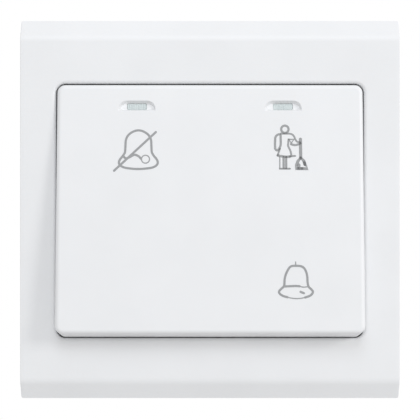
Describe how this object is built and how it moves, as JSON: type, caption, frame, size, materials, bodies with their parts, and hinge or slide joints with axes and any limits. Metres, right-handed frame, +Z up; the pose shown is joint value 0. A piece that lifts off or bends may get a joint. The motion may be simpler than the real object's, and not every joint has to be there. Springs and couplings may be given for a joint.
{
  "type": "doorbell push button",
  "caption": "Square wall plate with a wide rocker doorbell push, indicator windows above it, and the contact and terminal housing behind.",
  "frame": {"origin": "midway between the two wall screws, on the wall plane at the back of the plate", "axes": "+X right as seen from the room, +Y into the wall, +Z up"},
  "size_m": [0.086, 0.0368, 0.086],
  "materials": {
    "white_plastic": "satin white",
    "grey_plastic": "moulded light grey",
    "lens": "translucent grey-green",
    "nylon": "natural nylon",
    "brass": "bright",
    "silver": "silver alloy",
    "steel": "zinc plated",
    "spring_steel": "drawn wire",
    "circuit_board": "solder mask",
    "led_body": "moulded",
    "clear_plastic": "clear",
    "resistor_body": "lacquered",
    "diode_body": "moulded black"
  },
  "bodies": {
    "housing": {"surround_frame": "white_plastic", "support_frame": "grey_plastic", "mechanism_cover": "grey_plastic", "mechanism_base": "grey_plastic", "fixed_contact_left": "brass", "fixed_contact_right": "brass", "fixed_contact_tips": "silver", "plunger_spring": "spring_steel", "return_spring_left": "spring_steel", "return_spring_right": "spring_steel", "bell_terminal_left": "brass", "bell_terminal_right": "brass", "dnd_terminal": "brass", "common_terminal": "brass", "service_terminal": "brass", "terminal_screws": "steel", "housing_screws": "steel", "indicator_board": "circuit_board", "dnd_led": "led_body", "service_led": "led_body", "dnd_light_guide": "clear_plastic", "service_light_guide": "clear_plastic", "series_resistors": "resistor_body", "rectifier_diodes": "diode_body"},
    "rocker": {"rocker_cover": "white_plastic", "dnd_window": "lens", "service_window": "lens", "rocker_carrier": "nylon"},
    "plunger": {"bell_plunger": "nylon", "contact_bridge": "brass", "bridge_contact_tips": "silver"}
  },
  "joints": [
    {"name": "rocker_press", "type": "hinge", "parent": "housing", "child": "rocker", "pos_m": [0, -0.0065, 0], "axis": [1, 0, 0], "range_deg": [0, 4.5], "stiffness_Nm_per_rad": 0.8181, "springref_deg": -3.4, "deforming": ["return_spring_left", "return_spring_right"]},
    {"name": "plunger_travel", "type": "slide", "parent": "housing", "child": "plunger", "axis": [0, 1, 0], "range_m": [0, 0.0011], "deforming": ["plunger_spring"]}
  ],
  "couplings": [
    {"joint": "plunger_travel", "follows": "rocker_press", "m_per_rad": 0.013917}
  ]
}
